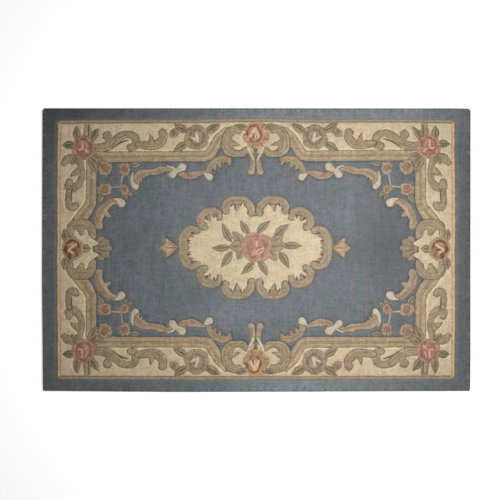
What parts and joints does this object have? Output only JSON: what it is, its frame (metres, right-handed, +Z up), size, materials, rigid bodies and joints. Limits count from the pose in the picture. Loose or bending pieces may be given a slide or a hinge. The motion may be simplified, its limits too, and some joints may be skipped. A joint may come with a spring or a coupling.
{
  "type": "carved wool rug",
  "caption": "Rectangular hand-tufted wool rug lying flat, with a carved floral medallion and a scrolled flower border",
  "frame": {"origin": "middle of the underside, on the floor", "axes": "+X along the long edges, +Y along the short edges, +Z up out of the pile"},
  "size_m": [1.8022, 1.1922, 0.013],
  "materials": {
    "wool_pile": "cut wool pile"
  },
  "bodies": {
    "root": {"rug": "wool_pile"}
  },
  "joints": []
}
